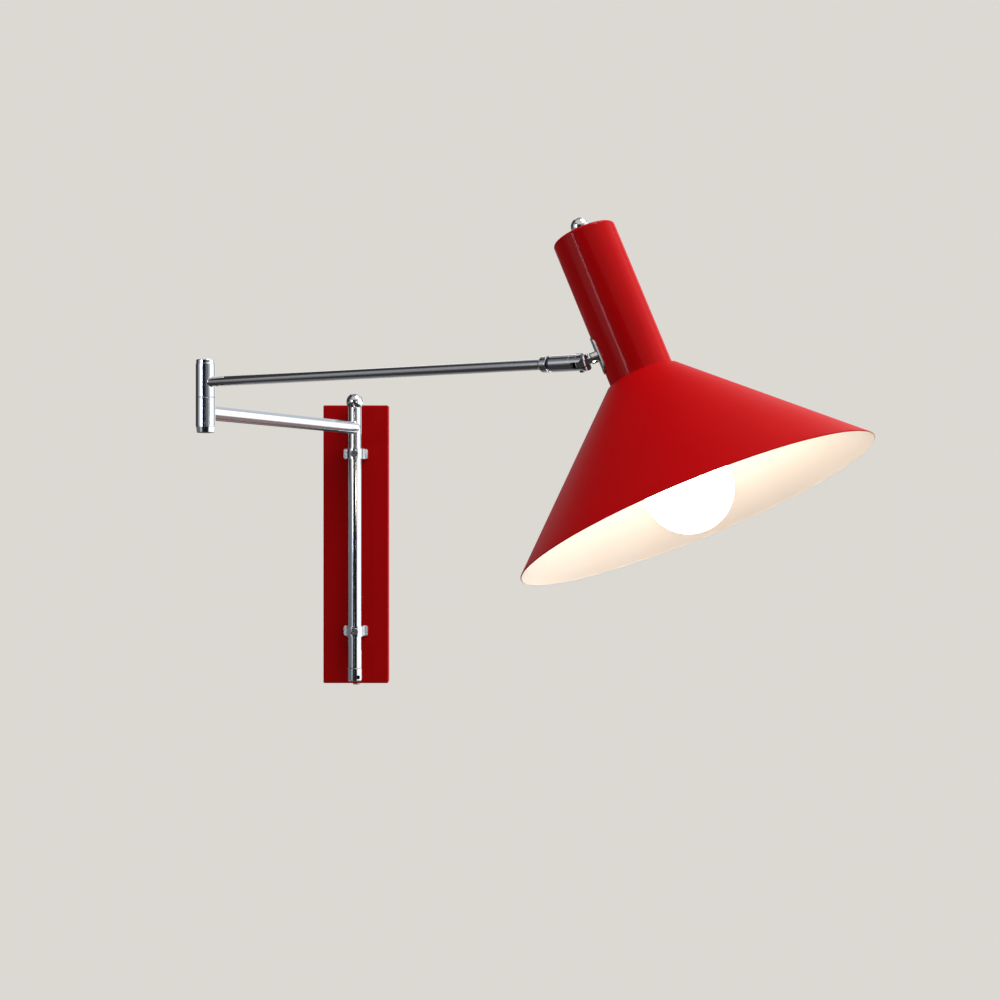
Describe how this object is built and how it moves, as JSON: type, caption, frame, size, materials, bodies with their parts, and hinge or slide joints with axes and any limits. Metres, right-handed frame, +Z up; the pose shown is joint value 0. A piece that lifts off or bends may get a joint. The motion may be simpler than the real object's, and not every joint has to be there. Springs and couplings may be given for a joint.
{
  "type": "adjustable wall lamp",
  "caption": "Wall lamp with a painted wall plate, an upright pivot tube, two jointed chrome arms and a conical painted shade on a rolling, tilting and turning joint.",
  "frame": {"origin": "middle of the mounting strap's back, on the wall", "axes": "+Z up, +X to the right of a person facing the wall, +Y into the wall"},
  "size_m": [0.5099, 0.8531, 0.3868],
  "materials": {
    "red_paint": "gloss",
    "chrome": "polished",
    "zinc_steel": "satin",
    "black_steel": "satin",
    "nylon": "matt",
    "bakelite": "satin",
    "porcelain": "gloss",
    "brass": "satin",
    "lamp_glass": "opal",
    "cap_metal": "satin",
    "black_glass": "gloss"
  },
  "bodies": {
    "wall_base": {"mounting_strap": "zinc_steel", "wall_plate": "red_paint", "backing_plate": "zinc_steel", "cover_screws": "zinc_steel", "upper_clip": "chrome", "lower_clip": "chrome", "clip_rivets": "zinc_steel", "upper_rod_rest": "nylon", "lower_rod_rest": "nylon", "rest_screws": "zinc_steel", "friction_screws": "black_steel"},
    "lower_arm": {"upright_tube": "chrome", "ball_finial": "chrome", "end_bush": "chrome", "grip_screw": "black_steel", "lower_arm_tube": "chrome", "elbow_lower_barrel": "chrome", "elbow_pivot": "zinc_steel", "elbow_bottom_cap": "chrome", "elbow_friction_washer": "zinc_steel", "elbow_spring_washer": "zinc_steel", "elbow_pivot_nut": "zinc_steel"},
    "upper_arm": {"elbow_upper_barrel": "chrome", "elbow_top_cap": "chrome", "upper_arm_tube": "chrome", "arm_collar": "chrome", "swivel_spacer": "nylon", "sleeve_retainer": "zinc_steel"},
    "swivel": {"swivel_sleeve": "chrome", "fork_end": "chrome", "tilt_screw": "chrome", "tilt_nut": "chrome", "tilt_washers": "nylon"},
    "tilt_link": {"tilt_tongue": "chrome", "stud_washer": "zinc_steel", "stud_nut": "zinc_steel"},
    "head": {"saddle_washer": "chrome", "inner_saddle": "nylon", "shade_neck": "red_paint", "ball_nut": "chrome", "nipple": "brass", "nipple_nut": "zinc_steel", "shade_cone": "red_paint", "lampholder_shell": "bakelite", "lampholder_cap": "bakelite", "lampholder_core": "porcelain", "screw_shell": "brass", "centre_contact": "brass", "shade_ring": "bakelite", "bulb_globe": "lamp_glass", "bulb_cap": "cap_metal", "bulb_insulator": "black_glass", "bulb_contact": "brass"}
  },
  "joints": [
    {"name": "rod_swivel", "type": "hinge", "parent": "wall_base", "child": "lower_arm", "pos_m": [0, -0.034, 0], "axis": [0, 0, 1], "range_deg": [-75, 100]},
    {"name": "elbow_swivel", "type": "hinge", "parent": "lower_arm", "child": "upper_arm", "pos_m": [-0.09745, -0.43225, 0.12855], "axis": [0, 0, 1], "range_deg": [-200, 78]},
    {"name": "sleeve_roll", "type": "hinge", "parent": "upper_arm", "child": "swivel", "pos_m": [0.20158, -0.70197, 0.1411], "axis": [0.7426, -0.6698, 0], "range_deg": [-170, 170]},
    {"name": "head_tilt", "type": "hinge", "parent": "swivel", "child": "tilt_link", "pos_m": [0.20158, -0.70197, 0.1411], "axis": [-0.3096, -0.3433, 0.8867], "range_deg": [-110, 10]},
    {"name": "head_turn", "type": "hinge", "parent": "tilt_link", "child": "head", "pos_m": [0.20158, -0.70197, 0.1411], "axis": [0.9324, 0.0733, 0.354], "range_deg": [-20, 80]}
  ]
}
